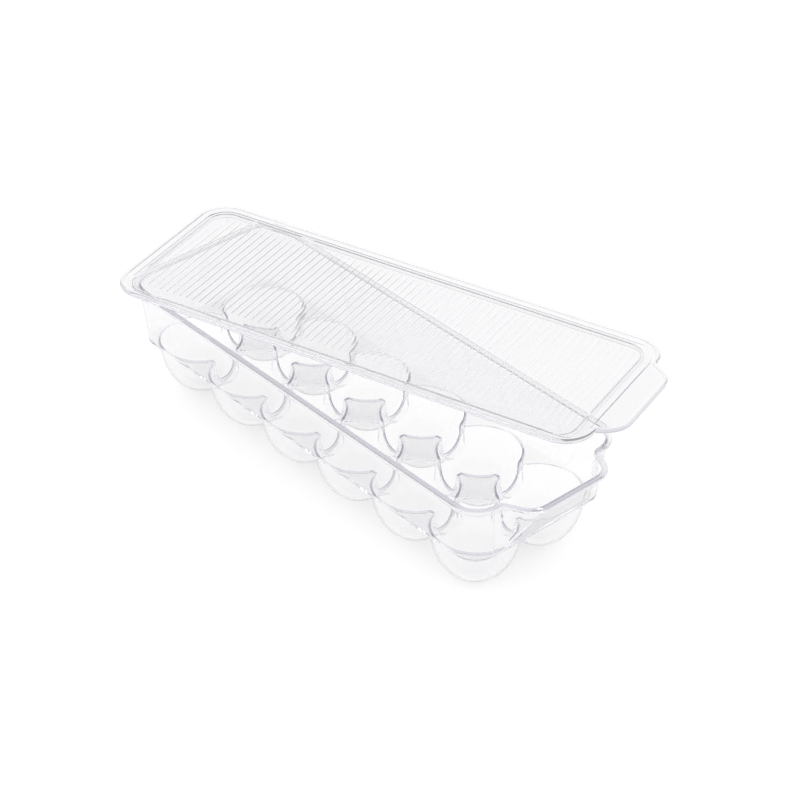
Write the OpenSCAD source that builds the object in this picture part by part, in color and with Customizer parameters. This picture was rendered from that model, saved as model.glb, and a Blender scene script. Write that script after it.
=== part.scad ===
// Clear refrigerator egg keeper: a tray with twelve round cups in two rows,
// and a loose ribbed lid that lies askew across the tray's rim.
// Millimetres. +X runs along the tray to its pull lip, +Z is up.
// The origin is the middle of the cup grid, on the surface the cups stand on.

/* [Tray] */
// Outer radius of a cup's mouth
cup_radius = 26.3; // [24:0.1:29]
// How far the mouths of neighbouring cups run into each other
cup_overlap = 2.1; // [0.6:0.1:2.6]
// Height of the floor plate's top above the table
floor_height = 35; // [28:1:42]
// Height of the rim's top above the table
tray_height = 74; // [64:1:90]
// Thickness of cup shells and walls
wall = 1.4; // [1.2:0.1:1.8]
// Thickness of the floor plate between the cups
floor_thickness = 1.6; // [1.2:0.1:2.4]
// Strip of floor between the cups' mouths and the long walls
side_strip = 0.5; // [0.3:0.1:4]
// Strip of floor between the cups' mouths and the end walls
end_strip = 1; // [0.5:0.1:6]

/* [Rim] */
// Width of the flat band round the top
rim_width = 4; // [3:0.5:5]
// Thickness of that band
rim_thickness = 2.2; // [1.6:0.1:3]
// How far the rim stands outside the walls
rim_overhang = 2.4; // [1:0.2:2.4]
// How far the walls lean in from rim to floor
wall_lean = 4.3; // [3.6:0.1:4.8]
// Corner radius of the rim
corner_radius = 18.5; // [16:0.5:20]

/* [Pull lip] */
// How far the pull lip reaches past the end of the rim
lip_reach = 18; // [10:1:24]
// Straight end of the rim between its rounded corner and the lip's root
lip_setback = 1.75; // [0.5:0.25:6]
// How far each side of the lip draws in towards its tip
lip_taper = 9; // [6:0.5:16]
// Radius of the lip's two outer corners
lip_tip_radius = 16; // [9:0.5:18]
// Radius of the hollow corners at the lip's root
shoulder_radius = 2.5; // [1:0.5:5]

/* [Notches between cups] */
// Width of the U notch in the web between two cups
notch_width = 17; // [10:1:18]
// Depth of that notch below the floor plate's top
notch_depth = 18; // [12:1:20]

/* [Lid] */
// How far the lid reaches past the rim
lid_overhang = 1.8; // [0.8:0.2:3]
// Width of the round bead along the lid's edge
bead_width = 3.4; // [2.4:0.2:4]
// Height of that bead
bead_height = 3; // [2.4:0.1:3.6]
// Thickness of the flange inside the bead
flange_thickness = 2; // [1.8:0.1:2.2]
// Thickness of the sunken panel
panel_thickness = 1.8; // [1.6:0.1:2.2]
// Height of the ridge below the panel that drops inside the rim
ridge_height = 2.8; // [2:0.1:4]
// Thickness of that ridge
ridge_width = 1.6; // [1:0.1:3]
// Gap between the ridge and the inside of the rim at the tray's ends
ridge_clearance = 1; // [0.3:0.1:2]
// How far the lid's shoulders stand past the tray's, at the end with the lip
lid_shoulder_shift = 3.7; // [0:0.1:5]

/* [Ribs on the lid] */
// Number of fine ribs across the panel
rib_count = 64; // [20:1:64]
// Width of a rib
rib_width = 1.2; // [0.8:0.1:2.4]
// Height of a rib
rib_height = 0.4; // [0.3:0.1:0.8]
// Plain border of the panel along its sides and its plain end
rib_border = 7.7; // [4:0.1:12]
// Plain border of the panel at the end with the lip
rib_border_at_lip = 7; // [4:0.1:12]
// Corner radius of the ribbed field
rib_field_radius = 9; // [3:0.5:16]

/* [Where the loose lid lies] */
// Turn of the lid, seen from above
lid_turn = 17.6; // [0:0.2:20]
// Shift of the lid along the tray
lid_shift_x = -20.3; // [-24:0.1:0]
// Shift of the lid across the tray
lid_shift_y = 32.7; // [0:0.1:36]

/* [Hidden] */
$fn = 96;

// Cup grid
columns = 6;
cup_pitch = 2 * cup_radius - cup_overlap;
row_y = cup_pitch / 2;
grid_end_x = (columns - 1) / 2 * cup_pitch;
cup_inner_radius = cup_radius - wall;
// A squared oval of this power gives the bowl its full cheeks
bowl_power = 2.2;
// The bowl's tip is cut off by the table, which leaves its round foot
foot_cut = 0.6;
bowl_steps = 12;
bowl_depth = floor_height - wall;
// A notch cutter ends inside both cups, this far past their shells
notch_run_in = 1.5;
notch_reach = cup_pitch / 2 + notch_run_in
    - bowl_radius(cup_inner_radius, bowl_depth + foot_cut, notch_depth);
// Other cutters stand this far past what they cut
cutter_margin = 1;

// Margins from the outer cup centres to the outside of the floor and the rim
floor_margin = cup_radius + side_strip;
end_margin = cup_radius + end_strip;
rim_inset_to_floor = rim_overhang + wall_lean;
body_half_width = row_y + floor_margin + rim_inset_to_floor;
body_half_length = grid_end_x + end_margin + rim_inset_to_floor;
wall_top = tray_height - rim_thickness;

// Plan of the pull lip, in half widths
lip_root = body_half_width - corner_radius - lip_setback;
lip_tip = lip_root - lip_taper;
// The lip reaches at least this far, as where the end wall meets the floor
least_lip = 0.6;
arc_steps = 7;

// Heights on the lid, measured up from the ridge's foot
panel_z = ridge_height;
flange_step = 0.6;
flange_z = ridge_height + flange_step;
// Strips of flange and bead round the panel, in from the lid's edge
panel_inset_side = 6.9;
panel_inset_left = 7.2;
panel_inset_right = 4.2;

plastic = [0.86, 0.87, 0.93, 0.5];
plastic_edge = [0.74, 0.75, 0.86, 0.7];

function cup_x(column) = (column - (columns + 1) / 2) * cup_pitch;

function unit(v) = v / norm(v);

function turned(v, angle) =
    [v.x * cos(angle) - v.y * sin(angle), v.x * sin(angle) + v.y * cos(angle)];

// Points of the arc that rounds the corner p between its neighbours a and b
function corner_arc(a, p, b, radius) =
    let (
        back = unit(a - p),
        ahead = unit(b - p),
        half = acos(back * ahead) / 2,
        centre = p + unit(back + ahead) * radius / sin(half),
        start = p + back * radius / tan(half) - centre,
        sweep = (180 - 2 * half) * (cross(back, ahead) < 0 ? 1 : -1)
    )
    [for (k = [0 : arc_steps]) centre + turned(start, sweep * k / arc_steps)];

// Closed outline through corners given as [point, radius]
function rounded(corners) =
    let (n = len(corners))
    [for (i = [0 : n - 1])
        each corner_arc(corners[(i + n - 1) % n][0], corners[i][0],
            corners[(i + 1) % n][0], corners[i][1])];

function mirrored(corner) = [[corner[0].x, -corner[0].y], corner[1]];

// Plan of the tray drawn in by inset, with its shoulders at the right end
// moved along by shift and the pull lip reaching reach past them
function plan(inset, reach = lip_reach, shift = 0) =
    let (
        left = -body_half_length + inset,
        shoulder = body_half_length + shift - inset,
        tip = body_half_length + max(reach, shift + least_lip) - inset,
        slope = (lip_root - lip_tip) / max(reach - shift, least_lip),
        side_draw = inset * (sqrt(1 + slope * slope) - slope),
        front_left = [[left, -body_half_width + inset], corner_radius - inset],
        front_right = [[shoulder, -body_half_width + inset], corner_radius - inset],
        front_shoulder = [[shoulder, -lip_root + side_draw], shoulder_radius + inset],
        front_tip = [[tip, -lip_tip + side_draw], lip_tip_radius - inset]
    )
    rounded([front_left, front_right, front_shoulder, front_tip,
        mirrored(front_tip), mirrored(front_shoulder),
        mirrored(front_right), mirrored(front_left)]);

// Rounded rectangle between two lengths, centred across
function oblong(left, right, half_width, radius) =
    rounded([[[left, -half_width], radius], [[right, -half_width], radius],
        [[right, half_width], radius], [[left, half_width], radius]]);

module ring(outside, inside, height) {
    linear_extrude(height)
        difference() {
            polygon(outside);
            polygon(inside);
        }
}

// Triangles between ring number a and ring number b of n points each
function band_faces(a, b, n) =
    [for (i = [0 : n - 1])
        let (j = (i + 1) % n)
        each [[a * n + i, b * n + i, b * n + j], [a * n + i, b * n + j, a * n + j]]];

// Leaning wall between an outer and an inner skin, each given at foot and top
module leaning_ring(outer_foot, outer_top, inner_foot, inner_top, foot_z, top_z) {
    n = len(outer_foot);
    function at_height(points, z) = [for (p = points) [p.x, p.y, z]];
    polyhedron(
        points = concat(at_height(outer_foot, foot_z), at_height(outer_top, top_z),
            at_height(inner_top, top_z), at_height(inner_foot, foot_z)),
        faces = concat(band_faces(0, 1, n), band_faces(1, 2, n),
            band_faces(2, 3, n), band_faces(3, 0, n)),
        convexity = 6);
}

// Radius of a bowl at a depth below its mouth
function bowl_radius(mouth, full_depth, depth) =
    mouth * pow(1 - pow(depth / full_depth, bowl_power), 1 / bowl_power);

// Points down one skin of the bowl, from its mouth to its flat bottom
function bowl_skin(mouth, flat_depth) =
    [for (k = [0 : bowl_steps])
        let (depth = flat_depth * sin(90 * k / bowl_steps))
        [bowl_radius(mouth, flat_depth + foot_cut, depth), floor_height - depth]];

// Outside of one bowl, filled up to its mouth
module bowl_outside() {
    rotate_extrude()
        polygon(concat([[0, floor_height]], bowl_skin(cup_radius, floor_height), [[0, 0]]));
}

// Room inside one bowl, open at its mouth
module bowl_room() {
    rotate_extrude()
        polygon(concat([[0, floor_height + cutter_margin],
                [cup_inner_radius, floor_height + cutter_margin]],
            bowl_skin(cup_inner_radius, bowl_depth), [[0, wall]]));
}

// Space that one cup owns: it ends half way to each neighbour
module cup_cell(column, side) {
    low_x = column == 1 ? -cup_pitch : -cup_pitch / 2;
    high_x = column == columns ? cup_pitch : cup_pitch / 2;
    translate([cup_x(column) + low_x, side > 0 ? 0 : -2 * cup_pitch, -cutter_margin])
        cube([high_x - low_x, 2 * cup_pitch, floor_height + 2 * cutter_margin]);
}

// U shaped bar through one web, along X: its round bottom lies notch_depth and
// margin below the floor's top, and its flat top lies top above it
module notch_bar(margin, top) {
    below = notch_depth - notch_width / 2;
    rotate([0, 90, 0])
        translate([0, 0, -notch_reach])
            linear_extrude(2 * notch_reach)
                union() {
                    translate([below, 0])
                        circle(d = notch_width + 2 * margin);
                    translate([-top, -notch_width / 2 - margin])
                        square([below + top, notch_width + 2 * margin]);
                }
}

// Copies its children to the middle of each web round one cup
module at_webs_of(column) {
    for (step = [-1, 1])
        if (column + step >= 1 && column + step <= columns)
            translate([step * cup_pitch / 2, 0, floor_height])
                children();
}

// The same for the web between this cup and the one in the other row
module at_middle_web(side) {
    translate([0, -side * row_y, floor_height])
        rotate([0, 0, 90])
            children();
}

// One cup: a bowl, with half of the U trough that each web forms to a neighbour
module egg_cup(column, side) {
    color(plastic)
        difference() {
            intersection() {
                translate([cup_x(column), side * row_y, 0])
                    union() {
                        bowl_outside();
                        at_webs_of(column)
                            notch_bar(wall, -floor_thickness);
                        at_middle_web(side)
                            notch_bar(wall, -floor_thickness);
                    }
                cup_cell(column, side);
            }
            translate([cup_x(column), side * row_y, 0]) {
                bowl_room();
                at_webs_of(column)
                    notch_bar(0, 2 * cutter_margin);
                at_middle_web(side)
                    notch_bar(0, 2 * cutter_margin);
            }
        }
}

// Plan of the floor plate with the cup mouths taken out
module floor_plan() {
    difference() {
        polygon(plan(rim_inset_to_floor, least_lip));
        for (side = [-1, 1])
            for (column = [1 : columns])
                translate([cup_x(column), side * row_y])
                    circle(r = cup_radius);
        for (side = [-1, 1])
            for (column = [1 : columns - 1])
                translate([cup_x(column) + cup_pitch / 2, side * row_y])
                    square([2 * notch_reach, notch_width], center = true);
        for (column = [1 : columns])
            translate([cup_x(column), 0])
                square([notch_width, 2 * notch_reach], center = true);
    }
}

// Area of the floor plate that holds the star islands between four cups
module island_area() {
    square([2 * grid_end_x, 2 * row_y], center = true);
}

module floor_half(side) {
    color(plastic)
        translate([0, 0, floor_height - floor_thickness])
            linear_extrude(floor_thickness)
                difference() {
                    intersection() {
                        floor_plan();
                        translate([-body_half_length, side > 0 ? 0 : -body_half_width])
                            square([2 * body_half_length, body_half_width]);
                    }
                    island_area();
                }
}

module floor_islands() {
    color(plastic)
        translate([0, 0, floor_height - floor_thickness])
            linear_extrude(floor_thickness)
                intersection() {
                    floor_plan();
                    island_area();
                }
}

module tray_wall() {
    color(plastic)
        leaning_ring(
            plan(rim_inset_to_floor, least_lip), plan(rim_overhang),
            plan(rim_inset_to_floor + wall, least_lip), plan(rim_overhang + wall),
            floor_height, wall_top);
}

module tray_rim() {
    color(plastic_edge)
        translate([0, 0, wall_top])
            ring(plan(0), plan(rim_width), rim_thickness);
}

// Puts the lid, drawn level over the tray, where it lies on the rim
module laid_askew() {
    translate([lid_shift_x, lid_shift_y, tray_height])
        rotate([0, 0, lid_turn])
            children();
}

function lid_plan(inset) = plan(inset - lid_overhang, lip_reach, lid_shoulder_shift);

lid_left = -body_half_length - lid_overhang;
lid_shoulder = body_half_length + lid_overhang + lid_shoulder_shift;
panel_half_width = body_half_width + lid_overhang - panel_inset_side;
panel_left = lid_left + panel_inset_left;
panel_right = lid_shoulder - panel_inset_right;
panel_radius = corner_radius + lid_overhang - panel_inset_side;

module lid_edge_bead() {
    color(plastic_edge)
        laid_askew()
            translate([0, 0, flange_z])
                ring(lid_plan(0), lid_plan(bead_width), bead_height);
}

module lid_flange() {
    color(plastic)
        laid_askew()
            translate([0, 0, flange_z])
                ring(lid_plan(bead_width),
                    oblong(panel_left, panel_right, panel_half_width, panel_radius),
                    flange_thickness);
}

module lid_panel() {
    color(plastic)
        laid_askew()
            translate([0, 0, panel_z])
                linear_extrude(panel_thickness)
                    polygon(oblong(panel_left, panel_right, panel_half_width, panel_radius));
}

// Half length of a rib at x, shorter where the ribbed field's corners are round
function rib_half_length(x, left, right, half_width) =
    let (
        from_end = min(x - left, right - x),
        into_corner = max(rib_field_radius - from_end, 0)
    )
    half_width - rib_field_radius
        + sqrt(max(rib_field_radius * rib_field_radius - into_corner * into_corner, 0));

module lid_ribs() {
    left = panel_left + rib_border;
    right = panel_right - rib_border_at_lip;
    half_width = panel_half_width - rib_border;
    pitch = (right - left - rib_width) / (rib_count - 1);
    color(plastic_edge)
        laid_askew()
            for (k = [0 : rib_count - 1]) {
                x = left + rib_width / 2 + k * pitch;
                reach = rib_half_length(x, left, right, half_width);
                translate([x - rib_width / 2, -reach, panel_z + panel_thickness])
                    cube([rib_width, 2 * reach, rib_height]);
            }
}

// Low wall that drops inside the rim and keeps a closed lid in place
module lid_locating_ridge() {
    opening_end = body_half_length - rim_width - ridge_clearance;
    color(plastic)
        laid_askew()
            ring(oblong(panel_left, opening_end, panel_half_width, panel_radius),
                oblong(panel_left + ridge_width, opening_end - ridge_width,
                    panel_half_width - ridge_width, panel_radius - ridge_width),
                ridge_height);
}

tray_rim();
tray_wall();
floor_half(-1);  // floor_front
floor_half(1);  // floor_back
floor_islands();
for (column = [1 : columns]) {
    egg_cup(column, -1);
    egg_cup(column, 1);
}
lid_edge_bead();
lid_flange();
lid_panel();
lid_ribs();
lid_locating_ridge();
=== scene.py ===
"""Looks of the clear egg keeper: one moulded tray with twelve cups, and its loose ribbed lid."""

import math

import bmesh
import bpy
import numpy as np
from mathutils import Matrix, Vector
from mathutils.geometry import delaunay_2d_cdt


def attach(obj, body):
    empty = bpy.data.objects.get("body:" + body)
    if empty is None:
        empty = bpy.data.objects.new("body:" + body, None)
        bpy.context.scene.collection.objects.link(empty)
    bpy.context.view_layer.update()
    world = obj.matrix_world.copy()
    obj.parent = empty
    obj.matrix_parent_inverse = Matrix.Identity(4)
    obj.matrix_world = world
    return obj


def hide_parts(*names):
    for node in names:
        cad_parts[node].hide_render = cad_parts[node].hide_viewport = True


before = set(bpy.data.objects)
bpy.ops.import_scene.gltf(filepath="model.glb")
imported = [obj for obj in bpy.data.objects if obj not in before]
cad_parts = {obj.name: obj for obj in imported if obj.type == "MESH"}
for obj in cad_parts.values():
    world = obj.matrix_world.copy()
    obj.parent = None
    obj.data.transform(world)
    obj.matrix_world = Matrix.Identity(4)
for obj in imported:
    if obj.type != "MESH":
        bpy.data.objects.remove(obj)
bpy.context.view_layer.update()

MM = 0.001

# Tray sizes in millimetres, as in the CAD source
CUP_PITCH = 50.5
CUP_RADIUS = 26.3
FLOOR_HEIGHT = 35.0
TRAY_HEIGHT = 74.0
WALL = 1.4
FLOOR_THICKNESS = 1.6
RIM_WIDTH = 4.0
RIM_THICKNESS = 2.2
RIM_OVERHANG = 2.4
WALL_LEAN = 4.3
CORNER_RADIUS = 18.5
LIP_REACH = 18.0
LEAST_LIP_REACH = 0.6
LIP_SETBACK = 1.75
LIP_TAPER = 9.0
NOTCH_WIDTH = 17.0
NOTCH_DEPTH = 18.0
BOWL_POWER = 2.2
FOOT_CUT = 0.6
HALF_LENGTH = 160.05
HALF_WIDTH = 58.75
LIP_ROOT = HALF_WIDTH - CORNER_RADIUS - LIP_SETBACK
LIP_TIP = LIP_ROOT - LIP_TAPER
LIP_TIP_RADIUS = 16.0
SHOULDER_RADIUS = 2.5
COLUMNS = 6

# Lid sizes in millimetres, heights measured up from the locating ridge's foot
LID_OVERHANG = 1.8
LID_SHOULDER_SHIFT = 3.7
PANEL_TOP = 4.6
PANEL_UNDERSIDE = 2.8
FLANGE_TOP = 5.4
FLANGE_UNDERSIDE = 3.4
BEAD_TOP = 6.4
RIDGE_END = 155.05
PANEL_INSET_SIDE = 6.9
PANEL_INSET_LEFT = 7.2
PANEL_INSET_RIGHT = 4.2
PANEL_LEFT = -HALF_LENGTH - LID_OVERHANG + PANEL_INSET_LEFT
PANEL_RIGHT = HALF_LENGTH + LID_OVERHANG + LID_SHOULDER_SHIFT - PANEL_INSET_RIGHT
PANEL_HALF_WIDTH = HALF_WIDTH + LID_OVERHANG - PANEL_INSET_SIDE
PANEL_RADIUS = CORNER_RADIUS + LID_OVERHANG - PANEL_INSET_SIDE
RIB_COUNT = 64
RIB_WIDTH = 1.2
RIB_HEIGHT = 0.3
RIB_FIELD_RADIUS = 9.0
RIB_FIELD_LEFT = PANEL_LEFT + 7.7
RIB_FIELD_RIGHT = PANEL_RIGHT - 7.0
RIB_FIELD_HALF_WIDTH = PANEL_HALF_WIDTH - 7.7
RIB_PITCH = (RIB_FIELD_RIGHT - RIB_FIELD_LEFT - RIB_WIDTH) / (RIB_COUNT - 1)
LID_TURN = 17.6
LID_SHIFT = (-20.3, 32.7)

# Stations round the outline: between two cup columns, and round one corner cup
STATIONS_PER_CUP = 24
STATIONS_PER_CORNER = 48
# Segments of each straight and arc from the last such station to the middle of an end
SPLIT_AT_LIP = (14, 10, 2, 5, 2, 8, 7)
SPLIT_AT_SQUARE_END = (14, 10, 24)
SPLIT_AT_PLAIN_END = (18, 14, 16)
SHARP_DEGREES = 50

# Sections in millimetres. The rim's and the bead's are (inset, height), from the inner side outwards
RIM_SECTION = ((4.0, 73.4), (3.85, 73.82), (3.4, 74.0), (2.0, 74.0), (0.6, 74.0), (0.17, 73.83),
               (0.0, 73.4), (0.0, 72.4), (0.17, 71.97), (0.6, 71.8), (1.9, 71.8))
RIM_FILLET_INSIDE = 1.2
RIM_FILLET_OUTSIDE = 0.5
FLOOR_EDGE_BEVEL = (0.25, 0.3)
WALL_SHARES = (0.03, 0.3, 0.6, 0.9)
PANEL_STEP = ((0.7, 4.72), (0.1, 5.12), (-0.5, FLANGE_TOP))
PANEL_TOP_INSET = 1.3
BEAD_SECTION = ((4.0, FLANGE_TOP), (3.3, 5.6), (2.7, 6.08), (1.8, BEAD_TOP), (0.9, 6.1), (0.25, 5.45),
                (0.0, 4.75), (0.1, 4.05), (0.45, 3.55), (1.0, FLANGE_UNDERSIDE), (4.0, FLANGE_UNDERSIDE))
STEP_UNDERSIDE = ((-0.3, FLANGE_UNDERSIDE), (0.0, 3.15), (0.3, PANEL_UNDERSIDE))
RIDGE_SECTION = ((0.02, 2.6), (0.02, 0.4), (0.3, 0.0), (1.3, 0.0), (1.6, 0.4), (1.6, 2.4),
                 (2.0, PANEL_UNDERSIDE))

# A U notch's quarter round in degrees from its bottom, and the flat beyond it as shares of its length
NOTCH_DEGREES = (0, 18, 36, 54, 72, 90)
FLAT_SHARES = (0.3, 0.65, 1.0)
# The middle of a small quarter round, as a share of its radius from the corner that it rounds
QUARTER_MIDDLE = 0.293
# Rings up a cup: its foot, its low round part, and its cheeks, which turn to follow the notches
FOOT_SHARES = (0.5, 1.0)
LOW_SHARES = (0.06, 0.2, 0.5, 1.0)
CHEEK_FOOT = 8.0
CHEEK_SHARES = (0.18, 0.36, 0.54, 0.72, 0.88, 1.0)
MOUTH_ROUNDING = 0.9
LEAST_ROUNDING = 0.3
ROUNDING_SHARE = 0.4

# Stations over a rib's width, as shares of half of it, and the run in which a rib's end rises
RIB_STATIONS = (-1.0, -0.6, -0.3, 0.0, 0.3, 0.6, 1.0)
RIB_RUN_OUT = 0.8


def line_points(a, b, count):
    """Points from a towards b, without b."""
    a, b = np.array(a, float), np.array(b, float)
    return [a + (b - a) * k / count for k in range(count)]


def corner_arc(a, p, b, radius, count):
    """The arc that rounds the corner p between a and b, as count segments."""
    a, p, b = (np.array(q, float) for q in (a, p, b))
    back = (a - p) / np.linalg.norm(a - p)
    ahead = (b - p) / np.linalg.norm(b - p)
    half = math.acos(float(np.clip(back @ ahead, -1, 1))) / 2
    middle = (back + ahead) / np.linalg.norm(back + ahead)
    centre = p + middle * radius / math.sin(half)
    start = p + back * radius / math.tan(half) - centre
    turn = (math.pi - 2 * half) * (1 if back[0] * ahead[1] - back[1] * ahead[0] < 0 else -1)
    out = []
    for k in range(count + 1):
        c, s = math.cos(turn * k / count), math.sin(turn * k / count)
        out.append(centre + np.array([c * start[0] - s * start[1], s * start[0] + c * start[1]]))
    return out


def joined(start, corners, end, counts):
    """A path from start to end round rounded corners.
    counts gives the segments of each straight and arc in turn."""
    arcs = []
    points = [start] + [c[0] for c in corners] + [end]
    for i, (point, radius) in enumerate(corners):
        arcs.append(corner_arc(points[i], point, points[i + 2], radius, counts[2 * i + 1]))
    path, here = [], np.array(start, float)
    for i, arc in enumerate(arcs):
        path += line_points(here, arc[0], counts[2 * i])
        path += arc[:-1]
        here = arc[-1]
    path += line_points(here, end, counts[-1])
    return path


def closed_outline(plain_end, lip_end, y_front):
    """The whole outline, counter-clockwise from the first column boundary of the front.
    Each end is given as its front half, from the straight side to the middle of the end."""
    middle = line_points((-2 * CUP_PITCH, y_front), (2 * CUP_PITCH, y_front),
                         (COLUMNS - 2) * STATIONS_PER_CUP)
    flip = np.array([1.0, -1.0])
    front = middle + lip_end
    back = [p * flip for p in reversed(lip_end[:-1])]
    back += [p * flip for p in reversed(middle)]
    plain_back = [p * flip for p in plain_end[1:-1]] + [plain_end[-1]]
    plain_front = list(reversed(plain_end[1:-1]))
    return np.array(front + back + plain_back + plain_front)


def outline(inset, reach=LIP_REACH, shift=0.0):
    """Outline of the tray or the lid, drawn in by inset, with its pull lip."""
    y = -HALF_WIDTH + inset
    left = -HALF_LENGTH + inset
    shoulder = HALF_LENGTH + shift - inset
    tip = HALF_LENGTH + max(reach, shift + LEAST_LIP_REACH) - inset
    slope = LIP_TAPER / max(reach - shift, LEAST_LIP_REACH)
    draw = inset * (math.sqrt(1 + slope * slope) - slope)
    right = joined(
        (2 * CUP_PITCH, y),
        [((shoulder, y), CORNER_RADIUS - inset),
         ((shoulder, -LIP_ROOT + draw), SHOULDER_RADIUS + inset),
         ((tip, -LIP_TIP + draw), LIP_TIP_RADIUS - inset)],
        (tip, 0.0), SPLIT_AT_LIP)
    right.append(np.array([tip, 0.0]))
    plain = joined((-2 * CUP_PITCH, y), [((left, y), CORNER_RADIUS - inset)], (left, 0.0),
                   SPLIT_AT_PLAIN_END)
    plain.append(np.array([left, 0.0]))
    return closed_outline(plain, right, y)


def oblong(left, right, half_width, radius):
    """A rounded rectangle with the same stations as outline()."""
    square = joined((2 * CUP_PITCH, -half_width), [((right, -half_width), radius)], (right, 0.0),
                    SPLIT_AT_SQUARE_END)
    square.append(np.array([right, 0.0]))
    plain = joined((-2 * CUP_PITCH, -half_width), [((left, -half_width), radius)], (left, 0.0),
                   SPLIT_AT_PLAIN_END)
    plain.append(np.array([left, 0.0]))
    return closed_outline(plain, square, -half_width)


class Skin:
    """Collects rings of points and the faces between them."""

    def __init__(self):
        self.points = []
        self.faces = []

    def ring(self, plan, z):
        plan = np.asarray(plan, float)
        z = np.broadcast_to(z, len(plan))
        start = len(self.points)
        self.points += [(x, y, h) for (x, y), h in zip(plan, z)]
        return list(range(start, len(self.points)))

    def single(self, point):
        self.points.append(tuple(point))
        return len(self.points) - 1

    def bridge(self, a, b, flip=False):
        n = len(a)
        for i in range(n):
            j = (i + 1) % n
            face = (a[i], a[j], b[j], b[i])
            self.faces.append(face[::-1] if flip else face)

    def fan(self, centre, ring, flip=False):
        n = len(ring)
        for i in range(n):
            face = (centre, ring[i], ring[(i + 1) % n])
            self.faces.append(face[::-1] if flip else face)

    def stack(self, rings, flip=False):
        for a, b in zip(rings, rings[1:]):
            self.bridge(a, b, flip)

    def mesh(self, name):
        data = bpy.data.meshes.new(name)
        data.from_pydata([tuple(c * MM for c in p) for p in self.points], [], self.faces)
        data.validate()
        piece = bpy.data.objects.new(name, data)
        bpy.context.scene.collection.objects.link(piece)
        return piece


def finish_piece(piece):
    """Welds the seams, turns every face outwards and shades it smooth but for real edges."""
    form = bmesh.new()
    form.from_mesh(piece.data)
    bmesh.ops.remove_doubles(form, verts=form.verts, dist=0.00001)
    bmesh.ops.recalc_face_normals(form, faces=form.faces)
    form.to_mesh(piece.data)
    form.free()
    piece.data.shade_smooth()
    piece.data.set_sharp_from_angle(angle=math.radians(SHARP_DEGREES))
    # Flat faces stay optically flat, and the small roundings beside them carry the turn
    even = piece.modifiers.new("even_normals", "WEIGHTED_NORMAL")
    even.mode = "FACE_AREA"
    even.weight = 50
    even.keep_sharp = True


class Bowl:
    """One skin of every cup: the room inside it, or the outside of its shell.
    web_half and web_bottom give the U notch, and edge the rounding at its top."""

    def __init__(self, mouth, flat_z, web_half, web_bottom, flat_top, edge):
        self.mouth = mouth
        self.flat_z = flat_z
        self.depth = FLOOR_HEIGHT - flat_z + FOOT_CUT
        self.web_half = web_half
        self.web_bottom = web_bottom
        self.flat_top = flat_top
        self.edge = edge

    def radius(self, z):
        share = np.clip((FLOOR_HEIGHT - np.asarray(z, float)) / self.depth, 0, 1)
        return self.mouth * (1 - share**BOWL_POWER) ** (1 / BOWL_POWER)

    def half_web(self):
        """Points up the U notch from the middle of a web, as (distance along the web, height)."""
        r, top, edge = self.web_half, self.flat_top, self.edge
        axis = self.web_bottom + r
        points = [(r * math.sin(a), axis - r * math.cos(a)) for a in np.radians(NOTCH_DEGREES)]
        points += [(r, (axis + top - edge) / 2), (r, top - edge)]
        points += [(r + QUARTER_MIDDLE * edge, top - QUARTER_MIDDLE * edge), (r + edge, top)]
        return points


ROOM = Bowl(CUP_RADIUS - WALL, WALL, NOTCH_WIDTH / 2, FLOOR_HEIGHT - NOTCH_DEPTH, FLOOR_HEIGHT, 1.0)
SHELL = Bowl(CUP_RADIUS, 0.0, NOTCH_WIDTH / 2 + WALL, FLOOR_HEIGHT - NOTCH_DEPTH - WALL,
             FLOOR_HEIGHT - FLOOR_THICKNESS, 0.6)


def web_side(bowl, start, end):
    """Boundary of a cell along a web, from -start to end, as (along, height, share).
    share is 0 on the notch, rises to 1 at the corner, and says where the bowl's mouth is met."""
    half = bowl.half_web()
    last = half[-1][0]
    sides = []
    for reach, sign in ((start, -1), (end, 1)):
        flat = [(last + (reach - last) * s, bowl.flat_top, s) for s in FLAT_SHARES]
        side = [(along, height, 0.0) for along, height in half] + flat
        sides.append([(sign * along, height, share) for along, height, share in side])
    return sides[0][:0:-1] + sides[1]


def cup_middle(column, row):
    return (column - (COLUMNS - 1) / 2) * CUP_PITCH, row * CUP_PITCH / 2


def webs_of_cup(bowl, column, row, foot_ring):
    """The webs round one cup, counter-clockwise after its stretch of wall.
    Each point is (x, y, height, share, along), from the cup's middle."""
    half = CUP_PITCH / 2
    cx = cup_middle(column, row)[0]
    to_side_wall = abs(foot_ring[0][1]) - half
    front, back = (to_side_wall, half) if row < 0 else (half, to_side_wall)
    right = half if column < COLUMNS - 1 else wall_reach(foot_ring, cx, 1)
    left = half if column > 0 else wall_reach(foot_ring, cx, -1)

    def web(start, end, place):
        side = web_side(bowl, start, end)
        return [(*place(along), height, share, along) for along, height, share in side]

    right_web = web(front, back, lambda t: (half, t)) if column < COLUMNS - 1 else []
    left_web = web(back, front, lambda t: (-half, -t)) if column > 0 else []
    if row < 0:
        return [right_web, web(right, left, lambda t: (-t, half)), left_web]
    return [left_web, web(left, right, lambda t: (t, -half)), right_web]


def wall_reach(rim_ring, cx, sign):
    """How far the end wall's foot lies from a cup's middle, on the long middle line."""
    xs = rim_ring[:, 0]
    return float(xs.max() - cx) if sign > 0 else float(cx - xs.min())


def walled_stations(column, row):
    """Indices into the outline of the stretch that belongs to one cup, counter-clockwise."""
    n, c = STATIONS_PER_CUP, STATIONS_PER_CORNER
    middle = (COLUMNS - 2) * n
    total = 2 * middle + 4 * c
    if row < 0:
        if column == 0:
            start, count = total - c, c
        elif column == COLUMNS - 1:
            start, count = middle, c
        else:
            start, count = (column - 1) * n, n
    else:
        if column == COLUMNS - 1:
            start, count = middle + c, c
        elif column == 0:
            start, count = 2 * middle + 2 * c, c
        else:
            start, count = middle + 2 * c + (COLUMNS - 2 - column) * n, n
    return [(start + k) % total for k in range(count + 1)]


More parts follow.
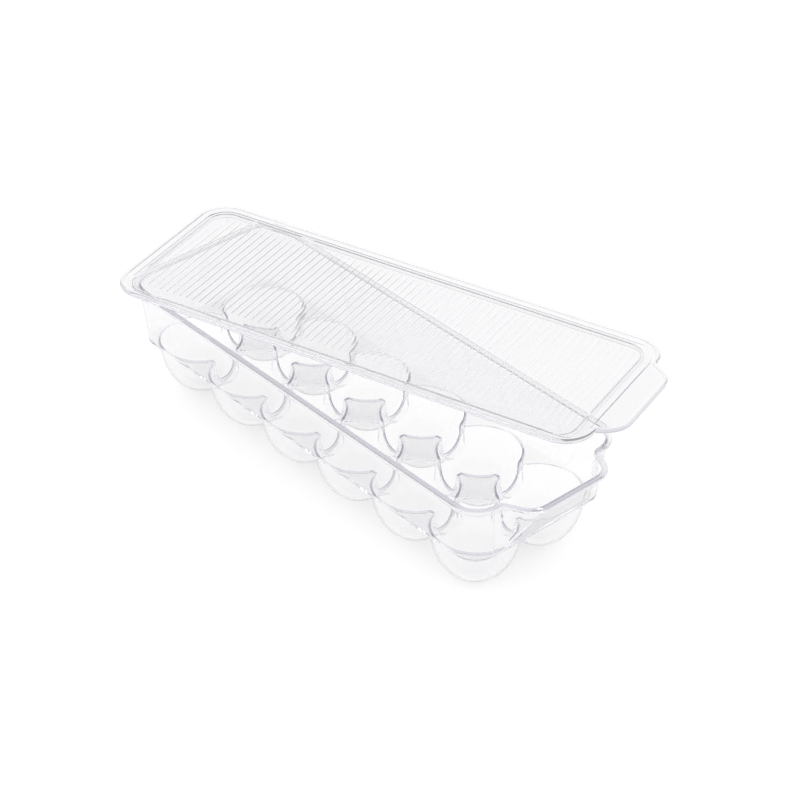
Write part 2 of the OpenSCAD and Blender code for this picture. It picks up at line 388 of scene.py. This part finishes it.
def cup_loop(bowl, column, row, foot_ring):
    """The closed boundary of one cup's cell, from the start of its stretch of wall."""
    middle = np.array(cup_middle(column, row))
    wall = [(*(foot_ring[i] - middle), bowl.flat_top, None, None) for i in walled_stations(column, row)]
    loop = []
    for side in [wall] + webs_of_cup(bowl, column, row, foot_ring):
        loop += side[:-1]
    return loop


def meets_bowl(bowl, loop):
    """Azimuth and height of the bowl's edge for each boundary point, in rising azimuths."""
    n = len(loop)
    azimuth, height = np.zeros(n), np.zeros(n)
    mouth = float(bowl.radius(bowl.flat_top))
    for i, (x, y, z, share, along) in enumerate(loop):
        facing = math.atan2(y, x)
        if share is None or share >= 1.0:
            azimuth[i], height[i] = facing, bowl.flat_top
            continue
        quarter = round(math.degrees(facing) / 90) * math.pi / 2
        sign = 1 if facing >= quarter else -1
        if share == 0.0:
            side = math.asin(np.clip(abs(along) / float(bowl.radius(z)), -1, 1))
            azimuth[i], height[i] = quarter + sign * side, z
        else:
            start = math.asin((bowl.web_half + bowl.edge) / mouth)
            azimuth[i] = quarter + sign * (start + (math.pi / 4 - start) * share)
            height[i] = bowl.flat_top
    return np.unwrap(azimuth), height


def add_cup(skin, bowl, column, row, foot_ring, flip):
    """One cup's skin: foot, cheeks, rounded edge, and the flat or U notch out to its cell's boundary."""
    cx, cy = cup_middle(column, row)
    loop = cup_loop(bowl, column, row, foot_ring)
    n = len(loop)
    azimuth, height = meets_bowl(bowl, loop)
    base = azimuth[0] + np.arange(n) * (2 * math.pi / n)
    base += float(np.mean(azimuth - base))

    def on_bowl(phi, z):
        r = bowl.radius(z)
        return np.stack([cx + r * np.cos(phi), cy + r * np.sin(phi), np.broadcast_to(z, n)], 1)

    rings = []
    foot = float(bowl.radius(bowl.flat_z))
    centre = skin.single((cx, cy, bowl.flat_z))
    for share in FOOT_SHARES:
        plan = np.stack([cx + foot * share * np.cos(base), cy + foot * share * np.sin(base)], 1)
        rings.append(skin.ring(plan, bowl.flat_z))
    skin.fan(centre, rings[0], flip)
    for share in LOW_SHARES:
        points = on_bowl(base, bowl.flat_z + (CHEEK_FOOT - bowl.flat_z) * share)
        rings.append(skin.ring(points[:, :2], points[:, 2]))

    edge = on_bowl(azimuth, height)
    run = np.linalg.norm(edge - on_bowl(base, CHEEK_FOOT), axis=1)
    far = np.array([(cx + x, cy + y, z) for x, y, z, _, _ in loop])
    span = np.linalg.norm(far - edge, axis=1)
    rounding = np.minimum(MOUTH_ROUNDING, ROUNDING_SHARE * span)
    top_share = 1 - np.maximum(rounding, LEAST_ROUNDING) / run
    for share in CHEEK_SHARES:
        part = share * top_share
        points = on_bowl(base + (azimuth - base) * part, CHEEK_FOOT + (height - CHEEK_FOOT) * part)
        rings.append(skin.ring(points[:, :2], points[:, 2]))
    beyond = edge + (far - edge) * (rounding / np.maximum(span, 1e-9))[:, None]
    turn = 0.25 * points + 0.5 * edge + 0.25 * beyond
    for points in (turn, beyond, (beyond + far) / 2, far):
        rings.append(skin.ring(points[:, :2], points[:, 2]))
    skin.stack(rings, flip)


def between(a, b, share):
    return a + (b - a) * share


def make_tray():
    """The tray as one closed moulding."""
    skin = Skin()
    inset_at_floor = RIM_OVERHANG + WALL_LEAN
    foot_inside = outline(inset_at_floor + WALL, LEAST_LIP_REACH)
    foot_outside = outline(inset_at_floor, LEAST_LIP_REACH)
    foot_under = outline(inset_at_floor + FLOOR_EDGE_BEVEL[0], LEAST_LIP_REACH)
    top_inside = outline(RIM_WIDTH)
    top_outside = outline(RIM_OVERHANG)
    for row in (-1, 1):
        for column in range(COLUMNS):
            add_cup(skin, ROOM, column, row, foot_inside, False)
            add_cup(skin, SHELL, column, row, foot_under, True)
    under_rim = TRAY_HEIGHT - RIM_THICKNESS
    wall_height = under_rim - FLOOR_HEIGHT
    rings = [skin.ring(foot_inside, FLOOR_HEIGHT)]
    for share in WALL_SHARES:
        plan = between(foot_inside, top_inside, share)
        rings.append(skin.ring(plan, FLOOR_HEIGHT + wall_height * share))
    rings.append(skin.ring(top_inside, under_rim + RIM_FILLET_INSIDE))
    for inset, z in RIM_SECTION:
        rings.append(skin.ring(outline(inset), z))
    rings.append(skin.ring(top_outside, under_rim - RIM_FILLET_OUTSIDE))
    for share in reversed(WALL_SHARES):
        plan = between(foot_outside, top_outside, share)
        rings.append(skin.ring(plan, FLOOR_HEIGHT + wall_height * share))
    under = FLOOR_HEIGHT - FLOOR_THICKNESS
    rings.append(skin.ring(foot_outside, under + FLOOR_EDGE_BEVEL[1]))
    rings.append(skin.ring(foot_under, under))
    skin.stack(rings)
    tray = skin.mesh("moulded_tray")
    finish_piece(tray)
    return tray


def rib_bump(x, y):
    """Height of the fine cross ribs above the panel at (x, y)."""
    k = np.clip(np.round((x - RIB_FIELD_LEFT - RIB_WIDTH / 2) / RIB_PITCH), 0, RIB_COUNT - 1)
    centre = RIB_FIELD_LEFT + RIB_WIDTH / 2 + k * RIB_PITCH
    off = np.abs(x - centre) / (RIB_WIDTH / 2)
    across = np.where(off < 1, 0.5 + 0.5 * np.cos(np.pi * off), 0)
    from_end = np.minimum(centre - RIB_FIELD_LEFT, RIB_FIELD_RIGHT - centre)
    into_corner = np.maximum(RIB_FIELD_RADIUS - from_end, 0)
    reach = (RIB_FIELD_HALF_WIDTH - RIB_FIELD_RADIUS
             + np.sqrt(np.maximum(RIB_FIELD_RADIUS**2 - into_corner**2, 0)))
    rise = np.clip((reach - np.abs(y)) / RIB_RUN_OUT, 0, 1)
    return RIB_HEIGHT * across * rise * rise * (3 - 2 * rise)


def rib_field_rows():
    """Heights across the field at which its grid has a row: close where the corner ribs end."""
    half, radius = RIB_FIELD_HALF_WIDTH, RIB_FIELD_RADIUS
    rows = [0.0, half * 0.4, half * 0.7, half - RIB_RUN_OUT, half - RIB_RUN_OUT / 2, half]
    rows += [half - radius + radius * math.sqrt(1 - (1 - share) ** 2) for share in (0.12, 0.4, 0.7, 0.9)]
    return np.array(sorted({round(sign * row, 4) for row in rows for sign in (-1, 1)}))


def add_ribbed_panel(skin, ring):
    """The sunken panel's top: a ribbed field, and a flat border out to its outline."""
    centres = [RIB_FIELD_LEFT + RIB_WIDTH / 2 + k * RIB_PITCH for k in range(RIB_COUNT)]
    xs = np.array([centre + RIB_WIDTH / 2 * share for centre in centres for share in RIB_STATIONS])
    ys = rib_field_rows()
    grid = []
    for y in ys:
        z = PANEL_TOP + rib_bump(xs, np.full(len(xs), y))
        grid.append(skin.ring(np.stack([xs, np.full(len(xs), y)], 1), z))
    for a, b in zip(grid, grid[1:]):
        for i in range(len(xs) - 1):
            skin.faces.append((a[i], a[i + 1], b[i + 1], b[i]))
    border = grid[0] + [g[-1] for g in grid[1:-1]] + grid[-1][::-1] + [g[0] for g in grid[-2:0:-1]]
    known = list(ring) + border
    flat = [Vector(skin.points[i][:2]) for i in known]
    m = len(ring)
    outer_edges = [(i, (i + 1) % m) for i in range(m)]
    inner_edges = [(m + i, m + (i + 1) % len(border)) for i in range(len(border))]
    corners, _, faces, _, _, _ = delaunay_2d_cdt(flat, outer_edges + inner_edges, [], 1, 1e-6)
    low, high = np.array([xs[0], ys[0]]), np.array([xs[-1], ys[-1]])
    for face in faces:
        middle = sum((np.array(corners[i]) for i in face), np.zeros(2)) / len(face)
        if (middle > low).all() and (middle < high).all():
            continue
        skin.faces.append(tuple(known[i] for i in face))


def make_lid():
    """The lid as one closed moulding, drawn level over the tray and then laid askew."""
    skin = Skin()

    def lid_outline(inset):
        return outline(inset - LID_OVERHANG, LIP_REACH, LID_SHOULDER_SHIFT)

    def panel(inset, right=PANEL_RIGHT):
        return oblong(PANEL_LEFT + inset, right - inset, PANEL_HALF_WIDTH - inset, PANEL_RADIUS - inset)

    def ridge(inset):
        return panel(inset, RIDGE_END)

    rings = [skin.ring(panel(PANEL_TOP_INSET), PANEL_TOP)]
    add_ribbed_panel(skin, rings[0])
    for inset, z in PANEL_STEP:
        rings.append(skin.ring(panel(inset), z))
    for inset, z in BEAD_SECTION:
        rings.append(skin.ring(lid_outline(inset), z))
    for inset, z in STEP_UNDERSIDE:
        rings.append(skin.ring(panel(inset), z))
    for inset, z in RIDGE_SECTION:
        rings.append(skin.ring(ridge(inset), z))
    skin.stack(rings)
    skin.faces.append(tuple(rings[-1]))
    lid = skin.mesh("moulded_lid")
    finish_piece(lid)
    place = Matrix.Translation(Vector((LID_SHIFT[0], LID_SHIFT[1], TRAY_HEIGHT)) * MM)
    lid.data.transform(place @ Matrix.Rotation(math.radians(LID_TURN), 4, "Z"))
    return lid


# Materials
WAVE_SCALE = 60.0
FLOW_SCALE = 400.0
FLOW_SHARE = 0.15
PLASTIC_COLOUR = (0.994, 0.993, 0.996, 1.0)
PLASTIC_ROUGHNESS = 0.015
PLASTIC_IOR = 1.49
ABSORPTION_COLOUR = (0.80, 0.796, 0.818, 1.0)
ABSORPTION_DENSITY = 70.0
WAVE_STRENGTH = 0.02
# Painted light: the grey glow that the plastic gives off once a ray has passed more mirrorings or turns
# than the limits below
PAINTED_GLOW_GREY = (0.50, 0.495, 0.52, 1.0)
MOST_MIRRORINGS = 3.5
MOST_TURNS = 11.5


def noise(nodes, detail):
    texture = nodes.new("ShaderNodeTexNoise")
    texture.inputs["Detail"].default_value = detail
    return texture


def moulded_waviness():
    """Slow waves and faint flow marks of a moulded surface, as a height."""
    group = bpy.data.node_groups.new("moulded_waviness", "ShaderNodeTree")
    for name, scale in (("Wave Scale", WAVE_SCALE), ("Flow Scale", FLOW_SCALE)):
        item = group.interface.new_socket(name, in_out="INPUT", socket_type="NodeSocketFloat")
        item.default_value = scale
    group.interface.new_socket("Height", in_out="OUTPUT", socket_type="NodeSocketFloat")
    nodes, links = group.nodes, group.links
    given = nodes.new("NodeGroupInput")
    result = nodes.new("NodeGroupOutput")
    place = nodes.new("ShaderNodeTexCoord")
    waves = noise(nodes, 1.0)
    flow = noise(nodes, 3.0)
    sum_up = nodes.new("ShaderNodeMath")
    sum_up.operation = "MULTIPLY_ADD"
    sum_up.inputs[1].default_value = FLOW_SHARE
    links.new(place.outputs["Object"], waves.inputs["Vector"])
    links.new(place.outputs["Object"], flow.inputs["Vector"])
    links.new(given.outputs["Wave Scale"], waves.inputs["Scale"])
    links.new(given.outputs["Flow Scale"], flow.inputs["Scale"])
    links.new(flow.outputs["Fac"], sum_up.inputs[0])
    links.new(waves.outputs["Fac"], sum_up.inputs[2])
    links.new(sum_up.outputs["Value"], result.inputs["Height"])
    return group


def above(nodes, links, value, limit):
    """1 where value is above limit, otherwise 0"""
    step = nodes.new("ShaderNodeMath")
    step.operation = "GREATER_THAN"
    step.inputs[1].default_value = limit
    links.new(value, step.inputs[0])
    return step.outputs[0]


def clear_plastic(name, waviness):
    """Water-clear moulded plastic, faintly lavender where it is seen edge on, with a painted grey glow
    where a ray has turned many times.
    """
    material = bpy.data.materials.new(name)
    material.use_nodes = True
    nodes, links = material.node_tree.nodes, material.node_tree.links
    plastic = nodes["Principled BSDF"]
    plastic.inputs["Base Color"].default_value = PLASTIC_COLOUR
    plastic.inputs["Roughness"].default_value = PLASTIC_ROUGHNESS
    plastic.inputs["IOR"].default_value = PLASTIC_IOR
    plastic.inputs["Transmission Weight"].default_value = 1.0
    # Painted light: once a ray has turned many times between the skins, the plastic glows grey in place
    # of the light that further bounces would bring
    path = nodes.new("ShaderNodeLightPath")
    painted_glow_mask = nodes.new("ShaderNodeMath")
    painted_glow_mask.operation = "MAXIMUM"
    links.new(above(nodes, links, path.outputs["Glossy Depth"], MOST_MIRRORINGS), painted_glow_mask.inputs[0])
    links.new(above(nodes, links, path.outputs["Ray Depth"], MOST_TURNS), painted_glow_mask.inputs[1])
    plastic.inputs["Emission Color"].default_value = PAINTED_GLOW_GREY
    links.new(painted_glow_mask.outputs["Value"], plastic.inputs["Emission Strength"])
    waves = nodes.new("ShaderNodeGroup")
    waves.node_tree = waviness
    bump = nodes.new("ShaderNodeBump")
    bump.inputs["Strength"].default_value = WAVE_STRENGTH
    bump.inputs["Distance"].default_value = MM
    links.new(waves.outputs["Height"], bump.inputs["Height"])
    links.new(bump.outputs["Normal"], plastic.inputs["Normal"])
    absorb = nodes.new("ShaderNodeVolumeAbsorption")
    absorb.inputs["Color"].default_value = ABSORPTION_COLOUR
    absorb.inputs["Density"].default_value = ABSORPTION_DENSITY
    links.new(absorb.outputs["Volume"], nodes["Material Output"].inputs["Volume"])
    return material


waviness = moulded_waviness()
tray_plastic = clear_plastic("clear_tray_plastic", waviness)
lid_plastic = clear_plastic("clear_lid_plastic", waviness)

tray = make_tray()
tray.data.materials.append(tray_plastic)
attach(tray, "tray")
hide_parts(*[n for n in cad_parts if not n.startswith("lid_")])

lid = make_lid()
lid.data.materials.append(lid_plastic)
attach(lid, "lid")
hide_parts(*[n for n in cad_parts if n.startswith("lid_")])


# Floor and light
FLOOR_SIZE = 12.0
FLOOR_DROP = 0.0002
FLOOR_SHADE = 0.55
FLOOR_SHADE_THROUGH = 0.12
FLOOR_LIFT_CAMERA = 0.66
FLOOR_LIFT_THROUGH = 0.96
FLOOR_LIFT_MIRRORED = 0.30
# Height in the tent, from 0 at the horizon to 1 overhead, and the grey there
TENT_GREYS = (
    (0.15, (1.0, 1.0, 1.0, 1)),
    (0.45, (0.32, 0.318, 0.326, 1)),
    (1.0, (0.62, 0.618, 0.626, 1)),
)
LAMP_PLACE = (0.9, 1.2, 1.6)
LAMP_SIZE = 1.2
LAMP_WATTS = 1.5


def mirrored_only(nodes, links, path):
    """1 for a mirror reflection, 0 for a ray that came through the plastic, which counts as both."""
    mirrored = nodes.new("ShaderNodeMath")
    mirrored.operation = "SUBTRACT"
    mirrored.use_clamp = True
    links.new(path.outputs["Is Glossy Ray"], mirrored.inputs[0])
    links.new(path.outputs["Is Transmission Ray"], mirrored.inputs[1])
    return mirrored.outputs[0]


def times_plus(nodes, links, value, factor, rest=0.0):
    """value x factor + rest, where rest is a number or a socket"""
    step = nodes.new("ShaderNodeMath")
    step.operation = "MULTIPLY_ADD"
    links.new(value, step.inputs[0])
    step.inputs[1].default_value = factor
    if isinstance(rest, float):
        step.inputs[2].default_value = rest
    else:
        links.new(rest, step.inputs[2])
    return step.outputs[0]


def white_floor():
    """White paper that keeps the shadow. Reflections in the plastic see it less brightly lit."""
    data = bpy.data.meshes.new("floor")
    corners = [(x * FLOOR_SIZE, y * FLOOR_SIZE, 0) for x, y in ((-1, -1), (1, -1), (1, 1), (-1, 1))]
    data.from_pydata(corners, [], [(0, 1, 2, 3)])
    floor = bpy.data.objects.new("floor", data)
    bpy.context.scene.collection.objects.link(floor)
    floor.location.z = -FLOOR_DROP
    material = bpy.data.materials.new("floor_white")
    material.use_nodes = True
    nodes, links = material.node_tree.nodes, material.node_tree.links
    nodes.clear()
    path = nodes.new("ShaderNodeLightPath")
    through = path.outputs["Is Transmission Ray"]
    matte = nodes.new("ShaderNodeBsdfDiffuse")
    links.new(times_plus(nodes, links, through, FLOOR_SHADE_THROUGH - FLOOR_SHADE, FLOOR_SHADE),
              matte.inputs["Color"])
    lift = nodes.new("ShaderNodeEmission")
    strength = times_plus(nodes, links, path.outputs["Is Camera Ray"], FLOOR_LIFT_CAMERA)
    strength = times_plus(nodes, links, through, FLOOR_LIFT_THROUGH, strength)
    strength = times_plus(nodes, links, mirrored_only(nodes, links, path), FLOOR_LIFT_MIRRORED, strength)
    links.new(strength, lift.inputs["Strength"])
    laid = nodes.new("ShaderNodeAddShader")
    out = nodes.new("ShaderNodeOutputMaterial")
    links.new(matte.outputs[0], laid.inputs[0])
    links.new(lift.outputs[0], laid.inputs[1])
    links.new(laid.outputs[0], out.inputs["Surface"])
    floor.data.materials.append(material)


def area_lamp(name, place, size, watts):
    """A soft square lamp that faces the middle of the tray's feet."""
    data = bpy.data.lights.new(name, "AREA")
    data.shape = "SQUARE"
    data.size = size
    data.energy = watts
    lamp = bpy.data.objects.new(name, data)
    bpy.context.scene.collection.objects.link(lamp)
    lamp.location = place
    lamp.rotation_mode = "QUATERNION"
    lamp.rotation_quaternion = Vector(place).to_track_quat("Z", "Y")


def studio_world():
    """A white tent. Clear edges and mirror reflections see its grey sides and top."""
    world = bpy.data.worlds.new("studio")
    bpy.context.scene.world = world
    world.use_nodes = True
    nodes, links = world.node_tree.nodes, world.node_tree.links
    nodes.clear()
    place = nodes.new("ShaderNodeTexCoord")
    split = nodes.new("ShaderNodeSeparateXYZ")
    greys = nodes.new("ShaderNodeValToRGB")
    greys.color_ramp.elements.new(0.5)
    for element, (position, colour) in zip(greys.color_ramp.elements, TENT_GREYS):
        element.position = position
        element.color = colour
    path = nodes.new("ShaderNodeLightPath")
    seen_grey = times_plus(nodes, links, path.outputs["Is Transmission Ray"], 1.0,
                           mirrored_only(nodes, links, path))
    mix = nodes.new("ShaderNodeMix")
    mix.data_type = "RGBA"
    mix.inputs["A"].default_value = (1, 1, 1, 1)
    backdrop = nodes.new("ShaderNodeBackground")
    out = nodes.new("ShaderNodeOutputWorld")
    links.new(place.outputs["Generated"], split.inputs[0])
    links.new(split.outputs["Z"], greys.inputs["Fac"])
    links.new(greys.outputs["Color"], mix.inputs["B"])
    links.new(seen_grey, mix.inputs["Factor"])
    links.new(mix.outputs["Result"], backdrop.inputs["Color"])
    links.new(backdrop.outputs[0], out.inputs["Surface"])


# The camera that took the photograph, found from its straight edges: degrees and millimetres
CAMERA_AZIMUTH = 48.006
CAMERA_ELEVATION = 35.419
CAMERA_ROLL = 0.472
CAMERA_TARGET = (47.842, -13.54, 74)
CAMERA_DISTANCE = 1473.33
FOCAL_LENGTH_PIXELS = 2534.5
FRAME_PIXELS = 800
SENSOR_WIDTH = 36.0


def photo_camera():
    azimuth, elevation, roll = (math.radians(v) for v in (CAMERA_AZIMUTH, CAMERA_ELEVATION, CAMERA_ROLL))
    level = math.cos(elevation)
    back = Vector((math.sin(azimuth) * level, -math.cos(azimuth) * level, math.sin(elevation)))
    right = (-back).cross(Vector((0, 0, 1))).normalized()
    up = right.cross(-back)
    turned_right = right * math.cos(roll) + up * math.sin(roll)
    turned_up = up * math.cos(roll) - right * math.sin(roll)
    data = bpy.data.cameras.new("camera")
    data.sensor_width = SENSOR_WIDTH
    data.lens = FOCAL_LENGTH_PIXELS / FRAME_PIXELS * SENSOR_WIDTH
    camera = bpy.data.objects.new("camera", data)
    bpy.context.scene.collection.objects.link(camera)
    turn = Matrix((turned_right, turned_up, back)).transposed()
    place = (Vector(CAMERA_TARGET) + back * CAMERA_DISTANCE) * MM
    camera.matrix_world = Matrix.Translation(place) @ turn.to_4x4()
    bpy.context.scene.camera = camera


white_floor()
studio_world()
area_lamp("key", LAMP_PLACE, LAMP_SIZE, LAMP_WATTS)
photo_camera()
bpy.context.scene.view_settings.view_transform = "Standard"
